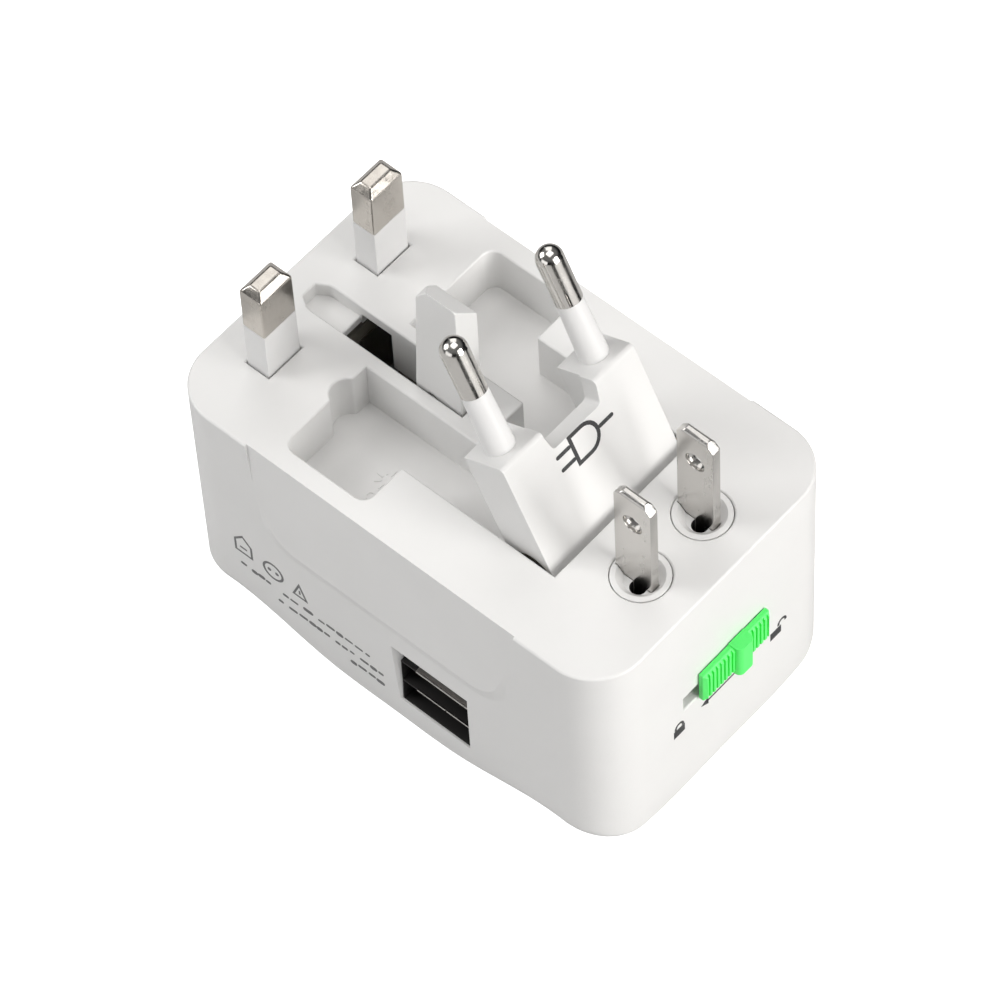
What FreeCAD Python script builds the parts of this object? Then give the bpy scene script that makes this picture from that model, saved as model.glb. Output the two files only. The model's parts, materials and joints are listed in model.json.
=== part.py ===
import FreeCAD, Part
import os
import re
import Sketcher
from FreeCAD import Placement, Rotation, Vector

# Universal travel adapter. The socket face lies on z = 0, the plug pins point to +Z, the lock
# button is on +X and the USB sockets are on -Y. Sizes are in mm. Everything is drawn about the
# middle of the body and then moved back along X by half the lock button's height, so the
# origin is under the middle of the whole adapter.

doc = FreeCAD.newDocument("travel_adapter")

SIZES = {
    # body
    "body_len": 78.0, "body_wid": 49.5, "body_ht": 42.0, "corner_r": 8.0, "rim_deep": 1.0, "base_flat": 12.0,
    "base_long_r": 0.4, "base_flat_r": 0.8, "base_end_r": 0.5, "base_turn_r": 1.2,
    "base_corner_r": 5.0,
    "face_r": 0.4, "wall": 2.5, "face_th": 2.0, "mouth_rim": 5.0, "cover_th": 3.0,
    "slack": 0.15, "run_slack": 0.05,
    # side grip panels, proud above a sloping lower edge and set in at the plug face
    "panel_low": 20.6, "panel_out": 0.6, "panel_in": 0.4, "panel_r": 6.5, "panel_slope": 2.6,
    # British plug: two pins, their sleeves and the plastic earth tab
    "uk_x": -31.0, "uk_y": 11.1, "uk_wide": 6.35, "uk_thick": 3.95, "uk_proud": 17.7,
    "uk_bare": 9.0, "uk_core_wide": 5.0, "uk_core_thick": 2.7, "carrier_low": 32.5,
    "carrier_th": 3.0, "carrier_half": 14.3,
    "tab_hinge_x": -10.2, "tab_hinge_z": 40.6, "tab_back": 3.0, "tab_front": 5.35,
    "tab_proud": 23.4, "tab_half": 2.1, "tab_slot_half": 2.4, "tab_pin_r": 0.8,
    "rest_x": -34.5, "rest_deep": 2.6, "tab_open_x": -27.4,
    # European plug block
    "euro_x": 17.4, "euro_z": 38.0, "euro_half": 13.2, "euro_end_r": 4.0, "euro_reach": 19.8,
    "euro_back": 3.5, "euro_plate": 3.0, "euro_gap_half": 5.5, "euro_notch_half": 5.3,
    "euro_notch": 3.6, "euro_tilt": 25.0, "euro_pin_y": 9.5, "euro_pin_r": 2.0,
    "euro_pin_len": 19.0, "euro_sleeve_len": 9.8, "euro_sleeve_r": 1.95, "euro_sleeve_root_r": 2.2, "euro_core_r": 1.5,
    "euro_root": 7.9, "euro_pivot_r": 1.2, "euro_pivot_half": 17.8,
    # pocket that takes the folded block, with the rail for the earth tab
    "pocket_deep": 8.5, "pocket_floor": 1.2, "wide_x0": -20.0, "wide_x1": -5.3, "wide_half": 21.3,
    "narrow_half": 13.8, "narrow_x1": 21.7, "rail_half": 4.6, "rail_x1": 0.4, "notch_r": 2.4,
    # American and Australian blades in their two turrets
    "us_x": 30.3, "us_y": 6.35, "turret_r": 4.2, "turret_gap": 0.1, "flange_r": 5.0,
    "stem_low": 20.5, "blade_x": 29.7, "blade_wide": 6.35, "blade_thick": 1.5,
    "blade_proud": 18.2, "blade_root": 6.0, "blade_hole_r": 1.6, "blade_hole_z": 54.3,
    # lock slider
    "lock_y": 1.75, "lock_half": 6.95, "lock_low": 18.6, "lock_high": 24.6, "lock_out": 1.35,
    "lock_boss_out": 2.3, "lock_travel": 3.5, "lock_slot_low": 18.8, "lock_slot_high": 21.8,
    # socket side
    "sock_x": -22.0, "sock_y": 11.1, "earth_x": 0.2, "frame_low": 21.2, "frame_high": 23.2,
    "bar_th": 0.8, "leaf_th": 0.4,
    # charger
    "usb_x0": 1.95, "usb_x1": 14.35, "usb_z0": 3.9, "usb_z1": 16.4, "port_ht": 4.55,
    "port_sheet": 0.25, "shell_front": 0.35, "shell_step": 2.0, "board_low": 17.6, "board_high": 19.2,
}

sheet = doc.addObject("Spreadsheet::Sheet", "Sizes")
for row, (alias, value) in enumerate(SIZES.items(), start=1):
    sheet.set("A%d" % row, alias)
    sheet.set("B%d" % row, str(value))
    sheet.setAlias("B%d" % row, alias)
doc.recompute()

WORD = re.compile(r"\b(%s)\b" % "|".join(sorted(SIZES, key=len, reverse=True)))
DIRECTION = {"X": Vector(1, 0, 0), "Y": Vector(0, 1, 0), "Z": Vector(0, 0, 1)}
nodes = {}


def bind(thing, prop, text):
    """Ties a property to an expression written with the size names."""
    thing.setExpression(prop, WORD.sub(r"Sizes.\1", str(text)))


def place(thing, x, y, z):
    """Binds the position of an object to three expressions."""
    for letter, text in zip("xyz", (x, y, z)):
        bind(thing, "Placement.Base." + letter, text)


def box(name, x, y, z):
    """Block between (low, high) pairs along the three axes."""
    block = doc.addObject("Part::Box", name)
    for prop, (low, high) in zip(("Length", "Width", "Height"), (x, y, z)):
        bind(block, prop, "(%s) - (%s)" % (high, low))
    place(block, x[0], y[0], z[0])
    return block


def rod(name, axis, radius, centre, span):
    """Cylinder along an axis; centre gives the other two coordinates in X, Y, Z order."""
    round_bar = doc.addObject("Part::Cylinder", name)
    round_bar.Placement = Placement(Vector(), Rotation(Vector(0, 0, 1), DIRECTION[axis]))
    bind(round_bar, "Radius", radius)
    bind(round_bar, "Height", "(%s) - (%s)" % (span[1], span[0]))
    where = list(centre)
    where.insert("XYZ".index(axis), span[0])
    place(round_bar, *where)
    return round_bar


def fuse(name, parts):
    """Union of several shapes."""
    if len(parts) == 1:
        return parts[0]
    union = doc.addObject("Part::MultiFuse", name)
    union.Shapes = parts
    union.Refine = True
    return union


def cut(name, base, tools):
    """Base minus one or more tools."""
    result = doc.addObject("Part::Cut", name)
    result.Base = base
    result.Tool = fuse(name + "_tools", tools)
    result.Refine = True
    return result


def prism(name, plane, points, low, high):
    """Body with one padded outline; points are expression pairs in the plane's own axes."""
    body = doc.addObject("PartDesign::Body", name)
    sketch = body.newObject("Sketcher::SketchObject", name + "_outline")
    support = [o for o in body.Origin.OriginFeatures if o.Role == plane + "_Plane"][0]
    sketch.AttachmentSupport = [(support, "")]
    sketch.MapMode = "FlatFace"
    corners = []
    for pair in points:
        corners.append(Vector(*[value_of(text) for text in pair], 0))
    for start, end in zip(corners, corners[1:] + corners[:1]):
        sketch.addGeometry(Part.LineSegment(start, end))
    count = len(corners)
    for index in range(count):
        sketch.addConstraint(Sketcher.Constraint("Coincident", index, 2, (index + 1) % count, 1))
    for index, pair in enumerate(points):
        for kind, text, value in zip(("DistanceX", "DistanceY"), pair, corners[index]):
            number = sketch.addConstraint(Sketcher.Constraint(kind, -1, 1, index, 1, value))
            bind(sketch, "Constraints[%d]" % number, text)
    # the XZ plane faces -Y, so its outline is drawn on the high side and padded back
    if plane == "XZ":
        bind(sketch, "AttachmentOffset.Base.z", "-(%s)" % high)
    else:
        bind(sketch, "AttachmentOffset.Base.z", low)
    pad = body.newObject("PartDesign::Pad", name + "_pad")
    pad.Profile = sketch
    bind(pad, "Length", "(%s) - (%s)" % (high, low))
    body.Tip = pad
    return body


def value_of(text):
    """Number behind an expression made of size names."""
    probe = WORD.sub(lambda match: repr(SIZES[match.group(1)]), str(text))
    return float(FreeCAD.Units.Quantity("(%s)" % probe).Value)


def dress(body, kind, size, chosen):
    """Rounds or bevels the edges of a body for which chosen(edge) is true."""
    doc.recompute()
    base = body.Tip
    names = ["Edge%d" % (i + 1) for i, edge in enumerate(base.Shape.Edges) if chosen(edge)]
    if not names:
        raise RuntimeError("no edge found for " + body.Name)
    feature = body.newObject("PartDesign::" + kind, body.Name + "_" + kind.lower())
    feature.Base = (base, names)
    bind(feature, "Radius" if kind == "Fillet" else "Size", size)
    body.Tip = feature
    return body


def along(axis):
    """Test for straight edges that run along an axis."""
    unit = DIRECTION[axis]

    def test(edge):
        if len(edge.Vertexes) != 2:
            return False
        run = edge.Vertexes[1].Point - edge.Vertexes[0].Point
        return run.Length > 0 and abs(run.normalize().dot(unit)) > 0.9999
    return test


def at(axis, value):
    """Test for edges that lie in the plane where the axis has this value."""
    def test(edge):
        limits = edge.BoundBox
        low, high = getattr(limits, axis + "Min"), getattr(limits, axis + "Max")
        return abs(low - value) < 0.01 and abs(high - value) < 0.01
    return test


def both(low_high):
    """The same span on the -Y side."""
    return ("-(%s)" % low_high[1], "-(%s)" % low_high[0])


def mirror_span(side, low, high):
    """Y span on the side given by +1 or -1."""
    return (low, high) if side > 0 else both((low, high))


def slab(name, half_x, half_y, z, radius):
    """Plate with rounded corners, centred on the Z axis."""
    points = [("-(%s)" % half_x, "-(%s)" % half_y), (half_x, "-(%s)" % half_y),
              (half_x, half_y), ("-(%s)" % half_x, half_y)]
    return dress(prism(name, "XY", points, *z), "Fillet", radius, along("Z"))


def base_rounded(name, body):
    """Rounds the rim around the socket face, more and more towards the ends of the long sides."""
    doc.recompute()
    chosen = []
    for number, edge in enumerate(body.Shape.Edges, start=1):
        if at("Z", SIZES["body_ht"])(edge):
            chosen.append((number, SIZES["face_r"], SIZES["face_r"]))
        if at("Z", -SIZES["rim_deep"])(edge):
            ends = (edge.FirstParameter, edge.LastParameter)
            chosen.append((number, *[rim_radius(edge.valueAt(end)) for end in ends]))
    rounding = doc.addObject("Part::Fillet", name)
    rounding.Base = body
    rounding.Edges = chosen
    return rounding


def rim_radius(point):
    """Rounding of the rim at a corner of its outline."""
    if abs(abs(point.x) - SIZES["body_len"] / 2) < 0.01:
        return SIZES["base_end_r"] if abs(point.y) < 0.01 else SIZES["base_turn_r"]
    if abs(point.x) < 0.01:
        return SIZES["base_long_r"]
    return SIZES["base_flat_r" if abs(point.x) < SIZES["base_flat"] + 0.01 else "base_corner_r"]


def node(label, shape, pose=None):
    """Registers a finished sub-part, turned into its pose and moved to the common origin."""
    shape.Label = label
    if pose is not None:
        shape.Placement = pose
    bound = dict(shape.ExpressionEngine)
    for axis, shift in (("x", "- Sizes.lock_boss_out / 2"), ("z", "+ Sizes.rim_deep")):
        path = "Placement.Base." + axis
        start = bound.get("." + path, bound.get(path)) or repr(getattr(shape.Placement.Base, axis))
        shape.setExpression(path, "%s %s" % (start, shift))
    nodes[label] = shape
    return shape


SIDES = (("line", 1), ("neutral", -1))
EURO_POSE = Placement(Vector(SIZES["euro_x"], 0, SIZES["euro_z"]),
                      Rotation(DIRECTION["Y"], -SIZES["euro_tilt"]))

# ---------------------------------------------------------------- main housing
top_low = "body_ht - face_th"
tub_block = prism("tub_block", "XY", [
    ("-body_len/2", "-body_wid/2"), ("-base_flat", "-body_wid/2"), (0, "-body_wid/2"),
    ("base_flat", "-body_wid/2"), ("body_len/2", "-body_wid/2"), ("body_len/2", 0),
    ("body_len/2", "body_wid/2"), ("base_flat", "body_wid/2"), (0, "body_wid/2"),
    ("-base_flat", "body_wid/2"), ("-body_len/2", "body_wid/2"), ("-body_len/2", 0)],
    "-rim_deep", "body_ht")
tub_block.Tip.Refine = False
dress(tub_block, "Fillet", "corner_r",
      lambda e: along("Z")(e) and abs(abs(e.BoundBox.XMin) - SIZES["body_len"] / 2) < 0.01
      and abs(abs(e.BoundBox.YMin) - SIZES["body_wid"] / 2) < 0.01)
tub_block.Tip.Refine = False
tub = base_rounded("tub", tub_block)
cavity = slab("cavity", "body_len/2 - wall", "body_wid/2 - wall", (4, top_low),
              "corner_r - wall")
mouth = slab("mouth", "body_len/2 - mouth_rim", "body_wid/2 - mouth_rim", (-3, 4.1),
             "corner_r - mouth_rim")
walls = cut("walls", tub, [cavity, mouth])

floor_low = "body_ht - pocket_deep - pocket_floor"
floor_top = "body_ht - pocket_deep"
above = "body_ht + 1"
inside = []
inside.append(box("wide_tray", ("wide_x0 - 2.8", "wide_x1 + 1.3"),
                  ("1 - body_wid/2", "body_wid/2 - 1"), (floor_low, top_low)))
inside.append(box("narrow_tray", ("wide_x1 - 0.5", "narrow_x1 + 1.4"),
                  ("-narrow_half - 1.8", "narrow_half + 1.8"), (floor_low, top_low)))
inside.append(box("tab_tray", ("rest_x - 1.2", "tab_open_x + 0.3"), ("-tab_slot_half - 1.3",
                  "tab_slot_half + 1.3"), ("body_ht - rest_deep - 1.4", top_low)))
for name, side in SIDES:
    for spot, boss_x in (("left", -28), ("right", 30.5)):
        inside.append(rod("boss_%s_%s" % (spot, name), "Z", 2.3,
                          (boss_x, 17.2 * side), ("cover_th + 0.05", top_low)))
    inside.append(rod("frame_boss_" + name, "Z", 2.1, (-8, 18.8 * side),
                      ("frame_high", "body_ht - pocket_deep")))
    inside.append(box("pivot_boss_" + name, ("euro_x - 3", "euro_x + 3"),
                      mirror_span(side, "narrow_half + 0.2", "euro_pivot_half + 0.6"),
                      ("euro_z - 3", top_low)))
    inside.append(box("guide_rib_" + name, ("1 - body_len/2", "uk_x - 3.7"),
                      mirror_span(side, 5.2, 6.6), (9, top_low)))

voids = []
for name, side in SIDES:
    hollow = prism("wide_pocket_" + name, "XY",
                   [("wide_x0", "rail_half"), ("wide_x1", "rail_half"), ("wide_x1", "wide_half"),
                    ("wide_x0", "wide_half")] if side > 0 else
                   [("wide_x0", "-wide_half"), ("wide_x1", "-wide_half"),
                    ("wide_x1", "-rail_half"), ("wide_x0", "-rail_half")], floor_top, above)
    outer_y = SIZES["wide_half"] * side
    dress(hollow, "Fillet", 1.8, lambda e, y=outer_y: along("Z")(e) and at("Y", y)(e))
    voids.append(hollow)
    voids.append(rod("tip_notch_" + name, "Z", "notch_r",
                     ("wide_x0 + 0.9", "%d * euro_pin_y" % side), (floor_top, above)))
    voids.append(box("narrow_pocket_" + name, ("wide_x1 - 1", "narrow_x1"),
                     mirror_span(side, "rail_half", "narrow_half"), (floor_top, above)))
    voids.append(box("uk_hole_" + name, ("uk_x - uk_thick/2 - slack", "uk_x + uk_thick/2 + slack"),
                     mirror_span(side, "uk_y - uk_wide/2 - slack", "uk_y + uk_wide/2 + slack"),
                     (30, above)))
    voids.append(rod("turret_hole_" + name, "Z", "turret_r + turret_gap",
                     ("us_x", "%d * us_y" % side), (36, above)))
    voids.append(box("wiper_window_" + name, ("euro_x - 2.4", "euro_x + 2.4"),
                     mirror_span(side, "narrow_half - 0.4", "narrow_half + 1.2"), (30, 41)))
    for spot, boss_x in (("left", -28), ("right", 30.5)):
        voids.append(rod("pilot_%s_%s" % (spot, name), "Z", 0.85,
                         (boss_x, 17.2 * side), ("cover_th - 1", 13)))
    voids.append(rod("frame_pilot_" + name, "Z", 0.75, (-8, 18.8 * side), ("frame_high - 1", 31)))
voids.append(box("middle_pocket", ("rail_x1", "narrow_x1"), ("-rail_half - 0.5", "rail_half + 0.5"),
                 (floor_top, above)))
voids.append(box("tab_slot", ("tab_open_x", "tab_hinge_x + tab_front + 0.3"),
                 ("-tab_slot_half", "tab_slot_half"), (30, above)))
voids.append(prism("tab_rest", "XY",
                   [("tab_open_x + 0.5", "-tab_slot_half"), ("tab_open_x + 0.5", "tab_slot_half"),
                    ("rest_x + 2.4", "tab_slot_half"), ("rest_x + 1.6", 2.25),
                    ("rest_x", 1.25), ("rest_x", -1.25), ("rest_x + 1.6", -2.25),
                    ("rest_x + 2.4", "-tab_slot_half")], "body_ht - rest_deep", above))
voids.append(box("tab_slot_side", ("wide_x0 - 3", "wide_x0 - 1.8"),
                 ("-tab_slot_half - 1.3", "tab_slot_half + 1.3"), (30, top_low)))
voids.append(rod("tab_pin_hole", "Y", "tab_pin_r + run_slack", ("tab_hinge_x", "tab_hinge_z"),
                 (-4.1, 4.1)))
voids.append(rod("euro_pin_hole", "Y", "euro_pivot_r + run_slack", ("euro_x", "euro_z"),
                 ("-euro_pivot_half - 0.1", "euro_pivot_half + 0.1")))
voids.append(box("usb_window", ("usb_x0 - 0.1", "usb_x1 + 0.1"), ("-body_wid/2 - 1", -20),
                 ("usb_z0 + 0.1", "usb_z1 + 0.1")))
voids.append(box("usb_seat", ("usb_x0 - 0.1", "usb_x1 + 0.1"),
                 ("-body_wid/2 + shell_front - 0.05", "-body_wid/2 + mouth_rim + 0.3"),
                 ("usb_z0 - 0.1", "usb_z0 + 0.2")))
scoop = prism("usb_scoop", "XY",
              [("usb_x0 - 0.9", "-body_wid/2 - 0.1"), ("usb_x0 + 0.5", "-body_wid/2 - 0.1"),
               ("usb_x0 + 0.5", "-body_wid/2 + 1.2"), ("usb_x0 + 0.35", "-body_wid/2 + 1.2")],
              "usb_z0 + 0.1", "usb_z1 + 0.1")
scoop.Placement = Placement(Vector(), Rotation(DIRECTION["Y"], -4.5),
                            Vector(SIZES["usb_x0"], 0, (SIZES["usb_z0"] + SIZES["usb_z1"]) / 2))
voids.append(scoop)
voids.append(box("lock_slot", ("body_len/2 - wall - 1", "body_len/2 + 1"),
                 ("lock_y - 9.85", "lock_y + 4.25"), ("lock_slot_low", "lock_slot_high")))

# side panels: a tapering pad with rounded lower corners on each long side
panel_outline = [(-24, "body_ht"), (-21.9, "panel_low"), (21.2, "panel_low"), (23.8, "body_ht")]
panels = []
for name, side in SIDES:
    blank = prism("panel_blank_" + name, "XZ", panel_outline,
                  *mirror_span(side, "body_wid/2 - panel_in - 0.6", "body_wid/2 + panel_out"))
    dress(blank, "Fillet", "panel_r",
          lambda e: along("Y")(e) and at("Z", SIZES["panel_low"])(e))
    outer = side * (SIZES["body_wid"] / 2 + SIZES["panel_out"])
    dress(blank, "Chamfer", "panel_slope",
          lambda e, y=outer: at("Y", y)(e) and not at("Z", SIZES["body_ht"])(e))
    blank.Tip.ChamferType = "Two distances"
    blank.Tip.FlipDirection = True
    bind(blank.Tip, "Size2", "panel_out")
    wedge = prism("panel_wedge_" + name, "YZ",
                  [("%d * (body_wid/2 - panel_in - 0.6)" % side, "panel_low - 1"),
                   ("%d * (body_wid/2 + panel_out)" % side, "panel_low - 1"),
                   ("%d * (body_wid/2 + panel_out)" % side, "panel_low"),
                   ("%d * (body_wid/2 - panel_in)" % side, "body_ht"),
                   ("%d * (body_wid/2 - panel_in - 0.6)" % side, "body_ht")], -30, 30)
    panel = doc.addObject("Part::MultiCommon", "panel_" + name)
    panel.Shapes = [blank, wedge]
    panels.append(panel)
    room = prism("panel_room_" + name, "XZ", panel_outline,
                 *mirror_span(side, "body_wid/2 - panel_in - 0.6", "body_wid/2 + 2"))
    dress(room, "Fillet", "panel_r",
          lambda e: along("Y")(e) and at("Z", SIZES["panel_low"])(e))
    voids.append(room)
hollowed = cut("hollowed", fuse("walled", [walls] + inside), voids)
node("main_housing", fuse("main_housing", [hollowed] + panels))

# ---------------------------------------------------------------- socket cover
cover = slab("cover_plate", "body_len/2 - mouth_rim - slack", "body_wid/2 - mouth_rim - slack",
             (0, "cover_th"), "corner_r - mouth_rim - slack")
openings = []
for name, side in SIDES:
    openings.append(box("uk_slot_" + name, ("sock_x - 2.3", "sock_x + 2.3"),
                        mirror_span(side, "sock_y - 3.5", "sock_y + 3.5"), (-1, 4)))
    openings.append(rod("round_slot_" + name, "Z", 2.6, ("sock_x", 9.5 * side), (-1, 4)))
    openings.append(box("blade_slot_" + name, ("sock_x - 3.5", "sock_x + 3.5"),
                        mirror_span(side, 5.4, 7.4), (-1, 4)))
    slanted = box("slant_slot_" + name, (-3.4, 3.4), (-1, 1), (-1, 4))
    slanted.Placement.Rotation = Rotation(DIRECTION["Z"], 30 * side)
    bind(slanted, "Placement.Base.x", "sock_x - 3.4 * cos(30 deg) + 0.5 * %d" % side)
    bind(slanted, "Placement.Base.y", "6.9 * %d - cos(30 deg)" % side)
    openings.append(slanted)
    for spot, boss_x in (("left", -28), ("right", 30.5)):
        openings.append(rod("head_%s_%s" % (spot, name), "Z", 2.0, (boss_x, 17.2 * side), (-1, 1.4)))
        openings.append(rod("shank_%s_%s" % (spot, name), "Z", 1.15,
                            (boss_x, 17.2 * side), (-1, 4)))
openings.append(box("earth_slot", ("earth_x - 4.3", "earth_x + 4.3"), (-2.3, 2.3), (-1, 4)))
openings.append(rod("lamp_hole", "Z", 1.6, (23, -17), (-1, 4)))
node("socket_cover", cut("socket_cover", cover, openings))


def screw(name, x, y, head, shank, thread_r, shank_r, head_r):
    """Pan-head screw driven upwards, with a cross slot in the head."""
    body = fuse(name + "_blank", [rod(name + "_head", "Z", head_r, (x, y), head),
                                  rod(name + "_shank", "Z", shank_r, (x, y), (head[1], shank))])
    slots = [box(name + "_slot_a", ("%s - 1.1" % x, "%s + 1.1" % x),
                 ("%s - 0.25" % y, "%s + 0.25" % y), ("%s - 1" % head[0], "%s + 0.6" % head[0])),
             box(name + "_slot_b", ("%s - 0.25" % x, "%s + 0.25" % x),
                 ("%s - 1.1" % y, "%s + 1.1" % y), ("%s - 1" % head[0], "%s + 0.6" % head[0]))]
    return cut(name, body, slots)


def compound(name, parts):
    """Several identical loose pieces that share one node."""
    group = doc.addObject("Part::Compound", name)
    group.Links = parts
    return group


node("cover_screws", compound("cover_screws", [
    screw("cover_screw_%s_%s" % (spot, name), boss_x, 17.2 * side, (0.3, 1.4), 11.5, 1.0, 0.8, 1.85)
    for name, side in SIDES for spot, boss_x in (("left", -28), ("right", 30.5))]))

# ---------------------------------------------------------------- inner contact frame
frame_plate = box("frame_plate", (-25.4, 24.6), (-20.5, 20.5), ("frame_low", "frame_high"))
frame_holes = [box("frame_earth_gap", (-5, 5.2), (-3, 3), (20, 24))]
for name, side in SIDES:
    frame_holes.append(box("frame_riser_gap_" + name, ("sock_x - 1.1", "sock_x + 1.1"),
                           mirror_span(side, 11.3, 13.9), (20, 24)))
    frame_holes.append(rod("frame_screw_gap_" + name, "Z", 1.0, (-8, 18.8 * side), (20, 24)))
    frame_holes.append(rod("frame_feed_gap_" + name, "Z", 0.8, (18, 12.6 * side), (20, 24)))
frame_holes.append(box("frame_fuse_gap", (2.8, 5.2), (14.3, 17.7), (20, 24)))
node("contact_frame", cut("contact_frame", frame_plate, frame_holes))
node("frame_screws", compound("frame_screws", [
    screw("frame_screw_" + name, -8, 18.8 * side, (19.9, "frame_low"), 29.5, 0.9, 0.7, 1.7)
    for name, side in SIDES]))

# ---------------------------------------------------------------- socket contacts and busbars
for name, side in SIDES:
    strips = [
        box(name + "_base", ("sock_x - 3", "sock_x + 3"), mirror_span(side, 5.0, 15.1),
            ("frame_low - 0.6", "frame_low")),
        box(name + "_leaf_inner", ("sock_x - 2.5", "sock_x + 2.5"), mirror_span(side, 4.9, 5.3),
            (5, "frame_low - 0.3")),
        box(name + "_leaf_outer", ("sock_x - 2", "sock_x + 2"), mirror_span(side, 14.7, 15.1),
            (5, "frame_low - 0.3")),
        box(name + "_leaf_left", ("sock_x - 2.8", "sock_x - 2.4"), mirror_span(side, 7.6, 11.4),
            (5, "frame_low - 0.3")),
        box(name + "_leaf_right", ("sock_x + 2.4", "sock_x + 2.8"), mirror_span(side, 7.6, 11.4),
            (5, "frame_low - 0.3")),
    ]
    if side > 0:
        strips.append(box("line_link", ("sock_x + 2", -10.5), (13.2, 17.4),
                          ("frame_low - 0.6", "frame_low")))
    else:
        strips.append(box("neutral_riser", ("sock_x - 0.8", "sock_x + 0.8"), (-13.6, -11.6),
                          ("frame_low - 0.2", "frame_high")))
    node(name + "_socket_contact", fuse(name + "_socket_contact", strips))

    bar = [box(name + "_run", (-23.2, 22), mirror_span(side, 10.6, 14.6),
               ("frame_high", "frame_high + bar_th")),
           box(name + "_arm", (18.5, 22), mirror_span(side, 4.9, 11),
               ("frame_high", "frame_high + bar_th"))]
    if side > 0:
        bar.append(box("line_ear", (2.6, 5.4), (14, 17.8), ("frame_high", "frame_high + bar_th")))
    node(name + "_busbar", fuse(name + "_busbar", bar))

    node("uk_%s_wiper" % name, fuse("uk_%s_wiper" % name, [
        box("uk_leaf_" + name, (-27.9, -27.5), mirror_span(side, 9.6, 12.6), ("frame_high", 37)),
        box("uk_foot_" + name, (-27.9, -23.2), mirror_span(side, 9.6, 12.6),
            ("frame_high", "frame_high + leaf_th"))]))
    node("us_%s_wiper" % name, fuse("us_%s_wiper" % name, [
        box("us_leaf_" + name, (25.3, 25.6), mirror_span(side, 4.9, 7.8), ("frame_high", 36)),
        box("us_foot_" + name, (22, 25.6), mirror_span(side, 4.9, 9.5),
            ("frame_high", "frame_high + leaf_th"))]))
    node("euro_%s_wiper" % name, cut("euro_%s_wiper" % name,
         box("euro_leaf_" + name, ("euro_x - 2.1", "euro_x + 2.1"), mirror_span(side, 13.6, 14.0),
             ("frame_high + bar_th", 40.6)),
         [rod("euro_leaf_eye_" + name, "Y", 1.6, ("euro_x", "euro_z"),
              mirror_span(side, 13, 15))]))

# ---------------------------------------------------------------- fuse
node("fuse_tube", cut("fuse_tube", rod("fuse_glass", "X", 2.4, (16, 14), (-9.5, 1.5)),
                      [rod("fuse_core", "X", 1.9, (16, 14), (-10, 2))]))
node("fuse_caps", compound("fuse_caps", [
    rod("fuse_cap_left", "X", 2.6, (16, 14), (-14.5, -9.5)),
    rod("fuse_cap_right", "X", 2.6, (16, 14), (1.5, 6.5))]))
for label, clip_x, strap_top in (("fuse_clip_supply", -13.5, "frame_low - 0.6"),
                                 ("fuse_clip_load", 3.0, "frame_high")):
    jaw = cut(label + "_jaw", box(label + "_block", (clip_x, clip_x + 2), (13.1, 18.9), (11.5, 17.2)),
              [rod(label + "_seat", "X", 2.65, (16, 14), (clip_x - 1, clip_x + 3)),
               box(label + "_mouth", (clip_x - 1, clip_x + 3), (14.2, 17.8), (11, 13))])
    node(label, fuse(label, [jaw, box(label + "_strap", (clip_x, clip_x + 2), (14.6, 17.4),
                                      (17.1, strap_top))]))

# ---------------------------------------------------------------- charger board
board_wide = box("board_wide", (-0.5, 24.5), (-21.5, -6), ("board_low", "board_high"))
board_tall = box("board_tall", (6.5, 24.5), (-6.5, 20), ("board_low", "board_high"))
node("usb_board", cut("usb_board", fuse("board_blank", [board_wide, board_tall]),
                      [rod("board_hole_a", "Z", 1.2, (21, -19.3), (17, 20)),
                       rod("board_hole_b", "Z", 1.2, (21, 17.8), (17, 20))]))
node("board_spacers", compound("board_spacers", [
    rod("spacer_a", "Z", 2.0, (21, -18.4), ("board_high", "frame_low")),
    rod("spacer_b", "Z", 2.0, (21, 17.8), ("board_high", "frame_low"))]))

shell_y = ("-body_wid/2 + shell_front", -10.0)
shell = box("shell_block", ("usb_x0", "usb_x1"), shell_y, ("usb_z0", "usb_z1"))
tongues = []
shell_cuts = [box("shell_step_room", ("usb_x0 - 1", "usb_x1 + 1"),
                  ("-body_wid/2", "-body_wid/2 + shell_front + shell_step"),
                  ("usb_z0 + 3 * port_sheet + 2 * port_ht", "usb_z1 + 1"))]
for tier, low in (("lower", "usb_z0 + port_sheet"), ("upper", "usb_z0 + 2 * port_sheet + port_ht")):
    shell_cuts.append(box("port_" + tier, ("usb_x0 + 0.15", "usb_x1 - 0.15"), ("-body_wid/2", -11),
                          (low, low + " + port_ht")))
    tongues.append(box("tongue_" + tier, ("usb_x0 + 0.9", "usb_x1 - 0.9"),
                       ("-body_wid/2 + 3.6", -11), (low + " + 2.6", low + " + 4.2")))
node("usb_shell", cut("usb_shell", shell, shell_cuts))
node("usb_tongues", compound("usb_tongues", tongues))

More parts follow.
